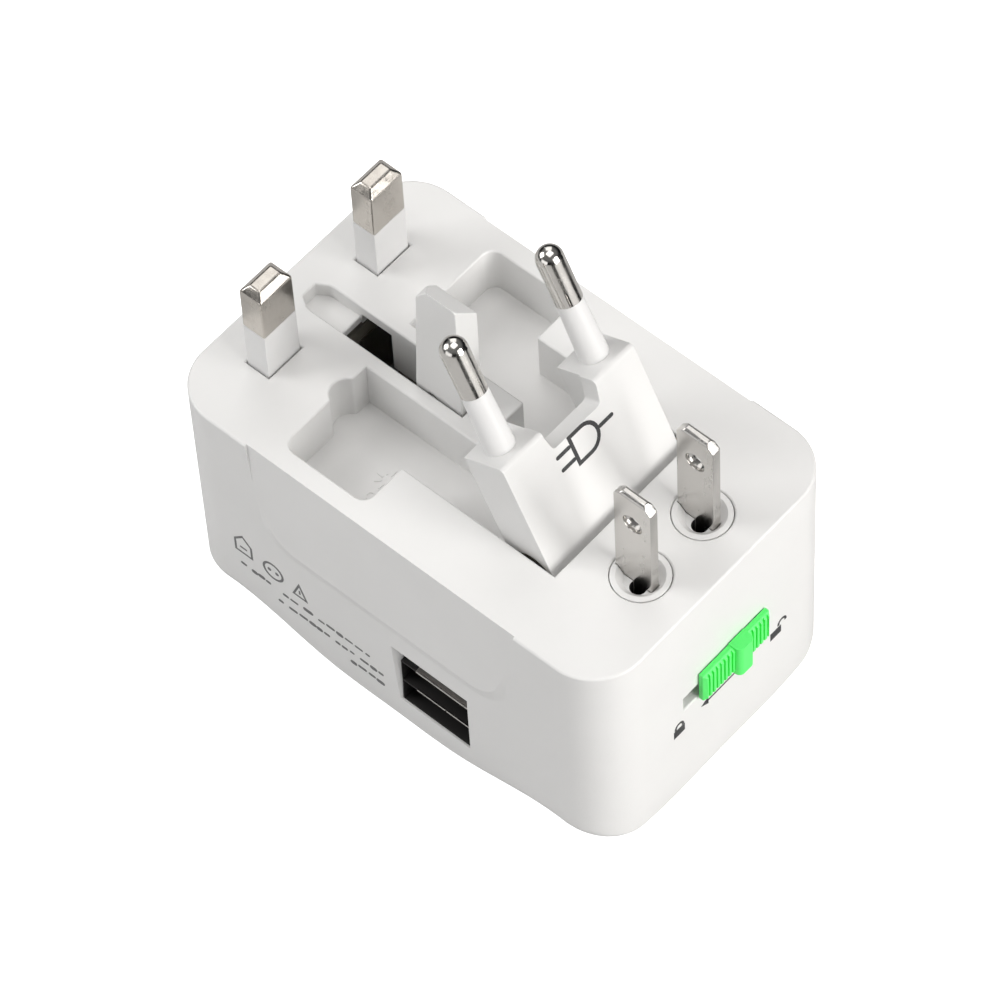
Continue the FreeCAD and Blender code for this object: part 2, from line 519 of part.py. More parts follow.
core = cut("transformer_yoke", box("core_block", (9, 22), (4, 12), (5.5, "board_low")),
           [box("core_window", (11, 20), (3, 13), (7.5, 15.6))])
node("transformer_core", fuse("transformer_core",
                              [core, box("core_leg", (14, 17), (4, 12), (7, 16))]))
node("transformer_winding", cut("transformer_winding",
     box("coil_block", (11.2, 19.8), (2.6, 13.4), (7.7, 15.4)),
     [box("coil_leg_gap", (13.8, 17.2), (3.8, 12.2), (7, 16))]))
node("input_capacitor", rod("input_capacitor", "Z", 3.4, (18.6, -3), (7, "board_low")))
node("output_capacitor", rod("output_capacitor", "Z", 2.4, (18.6, -11.5), (9, "board_low")))
node("controller_chip", box("controller_chip", (11, 16), (-3, 1.4), ("board_high", 20.7)))
node("power_lamp", fuse("power_lamp", [
    rod("lamp_dome", "Z", 1.5, (23, -17), (0.3, 6)), rod("lamp_flange", "Z", 1.9, (23, -17), (3.2, 4)),
    rod("lamp_lead_a", "Z", 0.25, (23, -17.9), (6, "board_low")),
    rod("lamp_lead_b", "Z", 0.25, (23, -16.1), (6, "board_low"))]))
for name, side in SIDES:
    node(name + "_feed", rod(name + "_feed", "Z", 0.6, (18, 12.6 * side), ("board_high", "frame_high")))

# ---------------------------------------------------------------- British pins
for name, side in SIDES:
    core_x = ("uk_x - uk_core_thick/2", "uk_x + uk_core_thick/2")
    bare_low = "body_ht + uk_proud - uk_bare"
    span = mirror_span(side, "uk_y - uk_wide/2", "uk_y + uk_wide/2")
    head = prism("uk_head_" + name, "XY",
                 [("uk_x - uk_thick/2", span[0]), ("uk_x + uk_thick/2", span[0]),
                  ("uk_x + uk_thick/2", span[1]), ("uk_x - uk_thick/2", span[1])],
                 bare_low, "body_ht + uk_proud")
    dress(head, "Chamfer", 1.1, at("Z", SIZES["body_ht"] + SIZES["uk_proud"]))
    core_y = mirror_span(side, "uk_y - uk_core_wide/2", "uk_y + uk_core_wide/2")
    node("uk_%s_pin" % name, fuse("uk_%s_pin" % name, [
        head,
        box("uk_core_" + name, core_x, core_y, ("carrier_low - 1.5", bare_low)),
        box("uk_heel_" + name, ("uk_x - 2", "uk_x + 2.8"), core_y,
            ("carrier_low - 1.5", "carrier_low"))]))
    node("uk_%s_sleeve" % name, cut("uk_%s_sleeve" % name,
         box("uk_sheath_" + name, ("uk_x - uk_thick/2", "uk_x + uk_thick/2"), span,
             ("body_ht - 2.3", bare_low)),
         [box("uk_sheath_bore_" + name, ("uk_x - uk_core_thick/2 - run_slack",
                                         "uk_x + uk_core_thick/2 + run_slack"),
              mirror_span(side, "uk_y - uk_core_wide/2 - run_slack",
                          "uk_y + uk_core_wide/2 + run_slack"), (30, 60))]))
bridge = box("carrier_bridge", ("uk_x - 3.4", "uk_x + 2.8"), ("-carrier_half", "carrier_half"),
             ("carrier_low", "carrier_low + carrier_th"))
posts, core_gaps = [bridge], []
for name, side in SIDES:
    posts.append(box("carrier_post_" + name, ("uk_x - 3", "uk_x + 2.8"),
                     mirror_span(side, "uk_y - 3.1", "uk_y + 3.1"),
                     ("carrier_low + carrier_th - 0.5", "body_ht - 2.3")))
    core_gaps.append(box("carrier_gap_" + name,
                         ("uk_x - uk_core_thick/2 - run_slack", "uk_x + uk_core_thick/2 + run_slack"),
                         mirror_span(side, "uk_y - uk_core_wide/2 - run_slack",
                                     "uk_y + uk_core_wide/2 + run_slack"), (30, 41)))
node("uk_carrier", cut("uk_carrier", fuse("carrier_blank", posts), core_gaps))
node("uk_detent_spring", fuse("uk_detent_spring", [
    box("detent_leaf", (-36.5, -36.1), (-3, 3), (22, 32)),
    box("detent_bump", (-36.2, -34.8), (-3, 3), (26, 27.4))]))

# ---------------------------------------------------------------- earth tab
tab_low = "tab_hinge_z - tab_front"
tab_top = "body_ht + tab_proud"
blade = prism("tab_blank", "XZ", [
    ("tab_hinge_x - tab_back", tab_low), ("tab_hinge_x + tab_front", tab_low),
    ("tab_hinge_x + tab_front", tab_top + " - 0.5"), ("tab_hinge_x + tab_front - 0.6", tab_top),
    ("tab_hinge_x + 0.2", tab_top), ("tab_hinge_x - 1.8", tab_top + " - 2.6"),
    ("tab_hinge_x - tab_back", "body_ht")], "-tab_half", "tab_half")
dress(blade, "Fillet", "tab_front - 0.01",
      lambda e: along("Y")(e) and at("Z", SIZES["tab_hinge_z"] - SIZES["tab_front"])(e)
      and at("X", SIZES["tab_hinge_x"] + SIZES["tab_front"])(e))
# the tip slopes down across the thickness of the tab
tip_slope = prism("tab_tip_slope", "YZ", [
    ("-tab_half - 1", tab_top + " + 1.07"), ("tab_half + 1", tab_top + " - 5.57"),
    ("tab_half + 1", tab_top + " + 2"), ("-tab_half - 1", tab_top + " + 2")], -20, 0)
node("earth_tab", cut("earth_tab", blade, [tip_slope,
    rod("tab_bore", "Y", "tab_pin_r + run_slack", ("tab_hinge_x", "tab_hinge_z"), (-3, 3))]))
node("earth_pivot_pin", rod("earth_pivot_pin", "Y", "tab_pin_r", ("tab_hinge_x", "tab_hinge_z"),
                            (-4, 4)))

# ---------------------------------------------------------------- European block
# drawn standing straight up about its own hinge line, then leaned back to the rest position
block = prism("block_blank", "XZ", [
    ("-euro_back", "-euro_end_r"), ("euro_end_r", "-euro_end_r"), ("euro_end_r", "euro_reach"),
    ("-euro_back", "euro_reach")], "-euro_half", "euro_half")
dress(block, "Fillet", "euro_back", lambda e: along("Y")(e) and at("Z", -SIZES["euro_end_r"])(e))
dress(block, "Fillet", 0.7, lambda e: along("Y")(e) and at("Z", SIZES["euro_reach"])(e)
      and at("X", SIZES["euro_end_r"])(e))
block_gaps = [
    box("block_middle", (-6, "euro_end_r - euro_plate"), ("-euro_gap_half", "euro_gap_half"),
        (-6, "euro_reach + 1")),
    rod("block_bore", "Y", "euro_pivot_r + run_slack", (0, 0), (-15, 15)),
]
dip = prism("block_dip", "YZ", [
    ("-euro_notch_half + 0.6", "euro_reach - euro_notch"),
    ("euro_notch_half - 0.6", "euro_reach - euro_notch"),
    ("euro_notch_half", "euro_reach - 1"), ("euro_notch_half", "euro_reach + 2"),
    ("-euro_notch_half", "euro_reach + 2"), ("-euro_notch_half", "euro_reach - 1")], 0, 5)
block_gaps.append(dress(dip, "Fillet", 0.7, lambda e: along("X")(e)
                        and at("Z", SIZES["euro_reach"] - SIZES["euro_notch"])(e)))
for name, side in SIDES:
    pin_y = "%d * euro_pin_y" % side
    block_gaps += [
        rod("block_core_gap_" + name, "Z", "euro_core_r + run_slack", (0, pin_y),
            ("euro_root - 1", "euro_reach + 1")),
        rod("block_pad_gap_" + name, "Y", 3.1, (0, 0), mirror_span(side, 12.05, 13.5)),
        box("block_riser_gap_" + name, (-1.1, 1.1), mirror_span(side, 11.6, 12.2), (0, "euro_root")),
        box("block_foot_gap_" + name, (-1.3, 1.3), mirror_span(side, 8.2, 12.2),
            ("euro_root - 1.1", "euro_root + 0.1")),
    ]
    strip = cut("euro_%s_strip" % name, fuse(name + "_strip_blank", [
        rod(name + "_pad", "Y", 3.0, (0, 0), mirror_span(side, 12.1, 13.15)),
        box(name + "_strip_riser", (-1, 1), mirror_span(side, 11.7, 12.15), (0, "euro_root")),
        box(name + "_strip_foot", (-1.2, 1.2), mirror_span(side, 8.3, 12.1),
            ("euro_root - 1", "euro_root"))]),
        [rod(name + "_pad_eye", "Y", 1.5, (0, 0), mirror_span(side, 11, 14))])
    node("euro_%s_strip" % name, strip, EURO_POSE)
    pin_top = "euro_reach + euro_pin_len"
    shank = rod("euro_shank_" + name, "Z", "euro_pin_r", (0, pin_y),
                ("euro_reach + euro_sleeve_len", pin_top + " - euro_pin_r"))
    nose = doc.addObject("Part::Sphere", "euro_nose_" + name)
    bind(nose, "Radius", "euro_pin_r")
    place(nose, 0, pin_y, pin_top + " - euro_pin_r")
    node("euro_%s_pin" % name, fuse("euro_%s_pin" % name, [
        shank, nose, rod("euro_core_" + name, "Z", "euro_core_r", (0, pin_y),
                         ("euro_root", "euro_reach + euro_sleeve_len"))]), EURO_POSE)
    sheath = doc.addObject("Part::Cone", "euro_sheath_" + name)
    bind(sheath, "Radius1", "euro_sleeve_root_r")
    bind(sheath, "Radius2", "euro_sleeve_r")
    bind(sheath, "Height", "euro_sleeve_len")
    place(sheath, 0, pin_y, "euro_reach")
    node("euro_%s_sleeve" % name, cut("euro_%s_sleeve" % name, sheath,
         [rod("euro_sheath_bore_" + name, "Z", "euro_core_r + run_slack", (0, pin_y),
              ("euro_reach - 1", "euro_reach + euro_sleeve_len + 1"))]), EURO_POSE)
node("euro_block", cut("euro_block", block, block_gaps), EURO_POSE)
node("euro_pivot_pin", rod("euro_pivot_pin", "Y", "euro_pivot_r", ("euro_x", "euro_z"),
                           ("-euro_pivot_half", "euro_pivot_half")))

# ---------------------------------------------------------------- American and Australian blades
for name, side in SIDES:
    centre = ("us_x", "%d * us_y" % side)
    edge = ("blade_x - blade_wide/2", "blade_x + blade_wide/2")
    turret = fuse("turret_blank_" + name, [
        rod("turret_head_" + name, "Z", "turret_r", centre, (top_low + " - 1", "body_ht - 0.1")),
        rod("turret_flange_" + name, "Z", "flange_r", centre, (38.0, top_low + " - 0.3")),
        rod("turret_stem_" + name, "Z", "turret_r", centre, ("stem_low", 39))])
    bowl = doc.addObject("Part::Cone", "turret_bowl_" + name)
    bind(bowl, "Radius1", 2.4)
    bind(bowl, "Radius2", 3.5)
    bind(bowl, "Height", 1.2)
    place(bowl, centre[0], centre[1], "body_ht - 1.2")
    slit_y = mirror_span(side, "us_y - blade_thick/2 - run_slack", "us_y + blade_thick/2 + run_slack")
    node("us_%s_turret" % name, cut("us_%s_turret" % name, turret, [
        bowl,
        box("turret_slit_" + name, (edge[0] + " - run_slack", edge[1] + " + run_slack"), slit_y,
            (15, above)),
        rod("turret_eye_" + name, "Z", 1.2, ("us_x + 0.5", "%d * us_y - 1.15" % side), (30, above))]))
    leaf = prism("blade_blank_" + name, "XY",
                 [(edge[0], "%d * us_y - blade_thick/2" % side),
                  (edge[1], "%d * us_y - blade_thick/2" % side),
                  (edge[1], "%d * us_y + blade_thick/2" % side),
                  (edge[0], "%d * us_y + blade_thick/2" % side)],
                 "body_ht - blade_root", "body_ht + blade_proud")
    tip_z = SIZES["body_ht"] + SIZES["blade_proud"]
    dress(leaf, "Chamfer", 1.3, lambda e: along("Y")(e) and at("Z", tip_z)(e))
    dress(leaf, "Chamfer", 0.4, lambda e: along("X")(e) and at("Z", tip_z)(e))
    node("us_%s_blade" % name, cut("us_%s_blade" % name, leaf, [
        rod("blade_hole_" + name, "Y", "blade_hole_r", ("blade_x", "blade_hole_z"),
            mirror_span(side, "us_y - 3", "us_y + 3"))]))

# ---------------------------------------------------------------- lock slider
outside = "body_len/2 + 0.15"
wing = prism("lock_wing", "YZ", [
    ("lock_y - lock_half", "lock_low"), ("lock_y + lock_half", "lock_low"),
    ("lock_y + lock_half", "lock_high"), ("lock_y - lock_half", "lock_high")],
    outside, "body_len/2 + lock_out")
dress(wing, "Chamfer", 0.5, at("X", SIZES["body_len"] / 2 + SIZES["lock_out"]))
boss = prism("lock_boss", "YZ", [
    ("lock_y - 0.8", "lock_low - 0.2"), ("lock_y + 2.4", "lock_low - 0.2"),
    ("lock_y + 2.4", "lock_high + 0.2"), ("lock_y - 0.8", "lock_high + 0.2")],
    outside, "body_len/2 + lock_boss_out")
dress(boss, "Fillet", 0.9, lambda e: along("Z")(e)
      and at("X", SIZES["body_len"] / 2 + SIZES["lock_boss_out"])(e))
grooves = []
for way, count, start in ((-1, 7, "lock_y - 1.3"), (1, 5, "lock_y + 3")):
    for step in range(count):
        spot = "%s + %d * %s" % (start, way, 0.8 * step)
        grooves.append(box("groove_%d_%s" % (step, "left" if way < 0 else "right"),
                           ("body_len/2 + lock_out - 0.35", "body_len/2 + 4"),
                           (spot + " - 0.17", spot + " + 0.17"), ("lock_low - 1", "lock_high + 1")))
neck = box("lock_neck", ("body_len/2 - wall - 0.3", "body_len/2 + 0.5"),
           ("lock_y - 4", "lock_y + 4"), ("lock_slot_low + 0.3", "lock_slot_high - 0.3"))
grip = cut("lock_grip", wing, grooves)
node("lock_button", fuse("lock_button", [grip, boss, neck]))
plate_x = ("body_len/2 - wall - 1.0", "body_len/2 - wall - 0.3")
lock_parts = [box("lock_strip", plate_x, ("lock_y - 10", "lock_y + 10"), (16, 24.8)),
              box("lock_riser", plate_x, ("lock_y - 3", "lock_y + 3"), (24, 33))]
for name, side in SIDES:
    lock_parts.append(box("lock_finger_" + name, ("us_x + turret_r + 0.3", plate_x[1]),
                          mirror_span(side, "us_y - 3", "us_y - 1"), (30, 31)))
lock_parts.append(box("lock_bridge", plate_x, (-5.4, 5.4), (29.5, 33)))
node("lock_plate", fuse("lock_plate", lock_parts))
node("lock_detent_spring", fuse("lock_detent_spring", [
    box("lock_leaf", plate_x, (-9, 9), (34.4, 34.8)),
    box("lock_leaf_bump", plate_x, (-0.6, 0.6), (33.4, 34.6))]))

# ---------------------------------------------------------------- check and write
doc.recompute()
for thing in doc.Objects:
    if "Invalid" in thing.State or "Error" in thing.State:
        raise RuntimeError("%s is %s" % (thing.Name, thing.State))
os.makedirs("parts", exist_ok=True)
for label, shape in nodes.items():
    solid = shape.Shape
    if solid.isNull() or not solid.isValid():
        raise RuntimeError(label + " has no valid shape")
    solid.exportStep("parts/%s.step" % label)
    print("%-22s %8.1f mm3 %d solids" % (label, solid.Volume, len(solid.Solids)))
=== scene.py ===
import json
import math
import random

import bmesh
import bpy
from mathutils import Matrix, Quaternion, Vector
from mathutils.bvhtree import BVHTree


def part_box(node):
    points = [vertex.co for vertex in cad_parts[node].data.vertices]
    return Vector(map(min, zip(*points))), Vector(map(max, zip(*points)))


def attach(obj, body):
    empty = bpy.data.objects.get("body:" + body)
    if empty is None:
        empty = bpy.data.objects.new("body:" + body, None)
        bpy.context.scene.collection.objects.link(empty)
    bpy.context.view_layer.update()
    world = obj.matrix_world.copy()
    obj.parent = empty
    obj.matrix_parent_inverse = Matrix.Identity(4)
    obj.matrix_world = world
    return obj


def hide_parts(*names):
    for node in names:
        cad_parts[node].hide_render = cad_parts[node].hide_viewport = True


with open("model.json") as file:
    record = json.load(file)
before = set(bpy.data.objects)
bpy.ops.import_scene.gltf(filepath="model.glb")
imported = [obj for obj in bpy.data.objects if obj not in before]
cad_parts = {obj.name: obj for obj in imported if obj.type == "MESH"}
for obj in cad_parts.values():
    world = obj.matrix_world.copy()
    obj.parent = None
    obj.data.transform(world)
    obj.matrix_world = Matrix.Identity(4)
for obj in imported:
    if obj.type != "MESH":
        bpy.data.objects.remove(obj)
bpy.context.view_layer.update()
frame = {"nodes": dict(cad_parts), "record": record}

MM = 0.001
random.seed(7)

NODES = frame["nodes"]
RECORD = frame["record"]
BODY_OF = {n: body for body, names in RECORD["behaviour"]["bodies"].items() for n in names}
SLOT_OF = {row["node"]: row["material_slot"] for row in RECORD["subparts"]}
MOUNT = {row["name"]: row for row in RECORD["mounts"]}
JOINT = {row["name"]: row for row in RECORD["behaviour"]["joints"]}

housing_lo, housing_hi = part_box("main_housing")
MID_X = (housing_lo.x + housing_hi.x) / 2
FACE_Z = housing_hi.z
# heights are counted from the socket face
SOCKET_Z = MOUNT["socket_face"]["pos_m"][2]


# ------------------------------------------------------------------ material helpers
class Paint:
    """A procedural material under construction: one Principled shader and its helper nodes."""

    def __init__(self, name):
        self.material = bpy.data.materials.new(name)
        self.material.use_nodes = True
        self.tree = self.material.node_tree
        self.shader = self.tree.nodes["Principled BSDF"]
        self.coords = self.add("ShaderNodeTexCoord").outputs["Object"]

    def add(self, kind, **values):
        node = self.tree.nodes.new(kind)
        for key, value in values.items():
            setattr(node, key, value)
        return node

    def link(self, source, target):
        self.tree.links.new(source, target)

    def fix(self, **values):
        """Sets the shader's own sockets; underscores stand for spaces."""
        for key, value in values.items():
            self.shader.inputs[key.replace("_", " ")].default_value = value

    def stretched(self, scale, turn=0.0):
        """Object coordinates turned about Z and scaled per axis."""
        node = self.add("ShaderNodeMapping")
        node.inputs["Scale"].default_value = scale
        node.inputs["Rotation"].default_value = (0, 0, turn)
        self.link(self.coords, node.inputs["Vector"])
        return node.outputs["Vector"]

    def noise(self, scale, detail=3.0, rough=0.55, coords=None):
        """Noise with `scale` cells per metre."""
        node = self.add("ShaderNodeTexNoise")
        node.inputs["Scale"].default_value = scale
        node.inputs["Detail"].default_value = detail
        node.inputs["Roughness"].default_value = rough
        self.link(coords or self.coords, node.inputs["Vector"])
        return node.outputs["Fac"]

    def spots(self, scale):
        """Distance to scattered points, `scale` of them per metre."""
        node = self.add("ShaderNodeTexVoronoi")
        node.inputs["Scale"].default_value = scale
        self.link(self.coords, node.inputs["Vector"])
        return node.outputs["Distance"]

    def ramp(self, source, low, high, stops=(0.35, 0.65)):
        """Maps a value to a colour between low and high."""
        node = self.add("ShaderNodeValToRGB")
        first, last = node.color_ramp.elements
        first.position, last.position = stops
        first.color, last.color = (*low, 1), (*high, 1)
        self.link(source, node.inputs["Fac"])
        return node.outputs["Color"]

    def span(self, source, low, high, start=0.3, end=0.7):
        """Maps a value from start..end to low..high."""
        node = self.add("ShaderNodeMapRange")
        node.inputs["From Min"].default_value = start
        node.inputs["From Max"].default_value = end
        node.inputs["To Min"].default_value = low
        node.inputs["To Max"].default_value = high
        self.link(source, node.inputs["Value"])
        return node.outputs["Result"]

    def math(self, operation, first, second):
        node = self.add("ShaderNodeMath", operation=operation)
        for socket, value in zip(node.inputs, (first, second)):
            if isinstance(value, (int, float)):
                socket.default_value = value
            else:
                self.link(value, socket)
        return node.outputs["Value"]

    def blend(self, amount, first, second):
        """Mix of two colours, each a tuple or a socket."""
        node = self.add("ShaderNodeMix", data_type="RGBA")
        self.link(amount, node.inputs["Factor"])
        for socket, value in ((node.inputs[6], first), (node.inputs[7], second)):
            if isinstance(value, tuple):
                socket.default_value = (*value, 1)
            else:
                self.link(value, socket)
        return node.outputs[2]

    def colour(self, source):
        self.link(source, self.shader.inputs["Base Color"])

    def roughness(self, source):
        self.link(source, self.shader.inputs["Roughness"])

    def bump(self, source, height):
        """Stacks a bump of the given height in metres on the shader's normal."""
        node = self.add("ShaderNodeBump")
        node.inputs["Distance"].default_value = height
        self.link(source, node.inputs["Height"])
        normal = self.shader.inputs["Normal"]
        if normal.is_linked:
            self.link(normal.links[0].from_socket, node.inputs["Normal"])
        self.link(node.outputs["Normal"], normal)


SPARK_HEIGHT = 0.00001
BRUSH_ALONG_Z = (900, 900, 60)


def moulded(name, tone, rough=0.36):
    """Moulded plastic: fine spark texture, faint flow clouds, dust and a few rubbed patches."""
    paint = Paint(name)
    clouds = paint.noise(46, 4, 0.6)
    dark = tuple(c * 0.975 for c in tone)
    light = tuple(min(1.0, c * 1.01) for c in tone)
    dust = paint.span(paint.spots(1100), 0.12, 0.0, 0.02, 0.09)
    base = paint.ramp(clouds, dark, light, (0.3, 0.7))
    paint.colour(paint.blend(dust, base, tuple(c * 0.8 for c in tone)))
    rubs = paint.noise(95, 4, 0.6)
    hairs = paint.noise(1.0, 2, 0.5, paint.stretched((2400, 90, 90), 0.6))
    paint.roughness(paint.math("ADD", paint.span(rubs, rough - 0.03, rough + 0.04, 0.3, 0.7),
                               paint.span(hairs, 0.0, 0.06, 0.62, 0.72)))
    paint.bump(paint.noise(2600, 2, 0.5), SPARK_HEIGHT)
    paint.fix(IOR=1.5)
    return paint.material


def plated(name, tone, rough=0.14, brush=BRUSH_ALONG_Z, tint=(0.62, 0.6, 0.57), worn=1.0):
    """Plated metal: drawn brushing along one axis, small dull patches and handling marks."""
    paint = Paint(name)
    lines = paint.noise(1.0, 3, 0.6, paint.stretched(brush))
    patches = paint.noise(420, 5, 0.7)
    paint.colour(paint.blend(paint.span(patches, 0.0, 0.55, 0.5, 0.75), tone, tint))
    scuffs = paint.math("ADD", paint.span(lines, -0.04, 0.08, 0.3, 0.7),
                        paint.span(patches, rough - 0.02, rough + 0.12 * worn, 0.45, 0.75))
    paint.roughness(scuffs)
    paint.bump(lines, 0.000006 * worn)
    paint.bump(paint.noise(260, 3, 0.6), 0.00001 * worn)
    paint.fix(Metallic=1.0)
    return paint.material


def printed_ink(name, tone):
    """Pad printing: a matt film with a slightly broken, uneven cover."""
    paint = Paint(name)
    thin = paint.span(paint.noise(3200, 3, 0.6), 0.0, 0.5, 0.55, 0.8)
    paint.colour(paint.blend(thin, tone, tuple(min(1.0, c + 0.12) for c in tone)))
    paint.roughness(paint.span(paint.noise(900, 2, 0.5), 0.45, 0.6, 0.3, 0.7))
    paint.bump(paint.noise(2600, 2, 0.5), 0.000004)
    return paint.material


MATERIALS = {
    "housing_white": moulded("housing_white", (0.80, 0.797, 0.79), 0.36),
    "cover_white": moulded("cover_white", (0.79, 0.785, 0.775), 0.4),
    # a little darker than the housing white: painted shade that darkens the block's faces
    "block_white": moulded("block_white", (0.765, 0.762, 0.755), 0.36),
    "tab_white": moulded("tab_white", (0.79, 0.788, 0.78), 0.36),
    "sleeve_white": moulded("sleeve_white", (0.79, 0.788, 0.785), 0.32),
    "turret_white": moulded("turret_white", (0.8, 0.797, 0.79), 0.34),
    "frame_ivory": moulded("frame_ivory", (0.34, 0.32, 0.27), 0.5),
    "lock_green": moulded("lock_green", (0.10, 0.93, 0.17), 0.4),
    # the slot is named after the usual white tongue; the tongues are painted near black, as painted shade
    # inside the ports
    "tongue_white": moulded("tongue_white", (0.012, 0.011, 0.011), 0.45),
    "pin_nickel": plated("pin_nickel", (0.70, 0.68, 0.65)),
    "contact_brass": plated("contact_brass", (0.75, 0.52, 0.2), 0.28),
    "steel": plated("steel", (0.62, 0.62, 0.62), 0.3),
    "shell_steel": plated("shell_steel", (0.5, 0.48, 0.46), 0.3, (60, 900, 900)),
    "board_green": moulded("board_green", (0.02, 0.13, 0.045), 0.35),
    "ferrite": moulded("ferrite", (0.03, 0.03, 0.032), 0.6),
    "coil_copper": plated("coil_copper", (0.6, 0.25, 0.09), 0.35, (60, 60, 2500)),
    "can_aluminium": plated("can_aluminium", (0.7, 0.7, 0.71), 0.3),
    "chip_black": moulded("chip_black", (0.016, 0.016, 0.017), 0.5),
    "fuse_glass": moulded("fuse_glass", (0.75, 0.8, 0.8), 0.08),
    "lamp_red": moulded("lamp_red", (0.45, 0.02, 0.015), 0.15),
}
UK_NICKEL = plated("uk_nickel", (0.60, 0.565, 0.52), 0.2, tint=(0.50, 0.46, 0.42))
BLADE_NICKEL = plated("blade_nickel", (0.60, 0.585, 0.565), 0.22, tint=(0.56, 0.545, 0.525), worn=0.4)
INK = printed_ink("ink_grey", (0.028, 0.028, 0.03))
SIDE_INK = printed_ink("ink_side", (0.16, 0.16, 0.162))
# dark grey metal for the block's wiping strips: painted shade in the gap under the block
STRIP_PAINTED_SHADE = plated("strip_painted_shade", (0.30, 0.295, 0.285), 0.35)
# near black for the floor and wall of the turrets' eyes: painted shade
EYE_PAINTED_SHADE = moulded("eye_painted_shade", (0.016, 0.015, 0.014), 0.7)
# near black for the charger ports' metal shell: painted shade inside the ports
PORT_PAINTED_SHADE = moulded("port_painted_shade", (0.010, 0.009, 0.009), 0.55)

for name, obj in NODES.items():
    obj.data.materials.clear()
    obj.data.materials.append(MATERIALS[SLOT_OF[name]])
# wiping strips in the sides of the European block, darkened to grey metal as painted shade where they show
# in the gap under the block
for side in ("line", "neutral"):
    NODES["euro_%s_strip" % side].data.materials[0] = STRIP_PAINTED_SHADE


# ------------------------------------------------------------------ geometry helpers
WELD_DISTANCE = 0.5e-6
# angles in degrees: flatter edges than FLAT are dissolved, outer edges past ROUNDED are rounded,
# and shading breaks past SHARP
FLAT = 0.4
ROUNDED = 30.0
SHARP = 32.0
# shallow steps are blended over this width in millimetres
STEP_BLEND = 0.5
STEP_SEGMENTS = 3


def placed(name, mesh, body, slot=None, material=None):
    """Links a mesh as a piece that rides on a body, with its finish."""
    obj = bpy.data.objects.new(name, mesh)
    bpy.context.scene.collection.objects.link(obj)
    mesh.materials.clear()
    mesh.materials.append(material or MATERIALS[slot])
    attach(obj, body)
    return obj


def shaded(mesh):
    """Smooth shading with hard edges where the surface turns sharply."""
    mesh.polygons.foreach_set("use_smooth", [True] * len(mesh.polygons))
    mesh.set_sharp_from_angle(angle=math.radians(SHARP))


def wall_point(node, origin, direction):
    """Where a ray meets the skin of a CAD node."""
    obj = NODES[node]
    tree = BVHTree.FromPolygons([obj.matrix_world @ v.co for v in obj.data.vertices],
                                [p.vertices for p in obj.data.polygons])
    spot = tree.ray_cast(Vector(origin), Vector(direction))[0]
    if spot is None:
        raise RuntimeError("no surface of %s on that ray" % node)
    return spot


def levelled(obj):
    """Keeps large flat faces flat beside their rounded edges."""
    modifier = obj.modifiers.new("level_faces", "WEIGHTED_NORMAL")
    modifier.keep_sharp = True
    modifier.weight = 80


def edge_groups(edges):
    """Sorts edges into runs that share vertices."""
    left = dict.fromkeys(edges)
    groups = []
    while left:
        stack = [next(iter(left))]
        del left[stack[0]]
        group = []
        while stack:
            edge = stack.pop()
            group.append(edge)
            for vert in edge.verts:
                for other in vert.link_edges:
                    if other in left:
                        del left[other]
                        stack.append(other)
        groups.append(group)
    return groups


def round_edges(bm, edges, width, segments):
    """Rounds each run of edges by itself, so that one tight run doesn't hold back the others."""
    for group in edge_groups(edges):
        bmesh.ops.bevel(bm, geom=group, offset=width * MM, offset_type="OFFSET", segments=segments,
                        profile=0.5, affect="EDGES", clamp_overlap=True)


def softened(node, width, segments=2, material=None, steps=None):
    """A copy of a CAD node with each run of outer edges rounded; it stands for the node.

    steps(edge) picks shallow edges that are blended over a wider band."""
    bm = bmesh.new()
    bm.from_mesh(NODES[node].data)
    bmesh.ops.remove_doubles(bm, verts=bm.verts, dist=WELD_DISTANCE)
    bmesh.ops.dissolve_limit(bm, angle_limit=math.radians(FLAT), verts=bm.verts, edges=bm.edges)
    if steps:
        shallow = [e for e in bm.edges if e.is_manifold and steps(e)]
        round_edges(bm, shallow, STEP_BLEND, STEP_SEGMENTS)
    outer = [e for e in bm.edges if e.is_manifold and e.is_convex
             and e.calc_face_angle(0) > math.radians(ROUNDED)]
    round_edges(bm, outer, width, segments)
    mesh = bpy.data.meshes.new(node + "_surface")
    bm.to_mesh(mesh)
    bm.free()
    for attribute in [a.name for a in mesh.attributes if "normal" in a.name]:
        mesh.attributes.remove(mesh.attributes[attribute])
    shaded(mesh)
    obj = placed(node + "_part", mesh, BODY_OF[node], SLOT_OF[node], material)
    levelled(obj)
    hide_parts(node)
    return obj


# ------------------------------------------------------------------ pieces from the CAD nodes
# one plain spot on each printed wall, clear of the panel, the port window and the slider
side_y = wall_point("main_housing", (MID_X - 20 * MM, -0.1, SOCKET_Z + 8 * MM), (0, 1, 0)).y
end_x = wall_point("main_housing", (0.1, -12 * MM, SOCKET_Z + 30 * MM), (-1, 0, 0)).x
PANEL_SLOPE_TOP = 31
PANEL_SLOPE_ANGLES = (8, 20)
# the eye in a turret, in millimetres from the turret's middle and below the plug face
EYE_X = 0.5
EYE_Y = -1.15
EYE_REACH = 1.25
EYE_DEPTH = 1.25
MOSTLY = 0.9


def on_panel_slope(edge):
    """Edges of the sloping band around the lower part of a side panel."""
    outside = all(abs(v.co.y) > abs(side_y) - 0.01 * MM for v in edge.verts)
    low = all(v.co.z < SOCKET_Z + PANEL_SLOPE_TOP * MM for v in edge.verts)
    least, most = PANEL_SLOPE_ANGLES
    return outside and low and least < math.degrees(edge.calc_face_angle(0)) < most


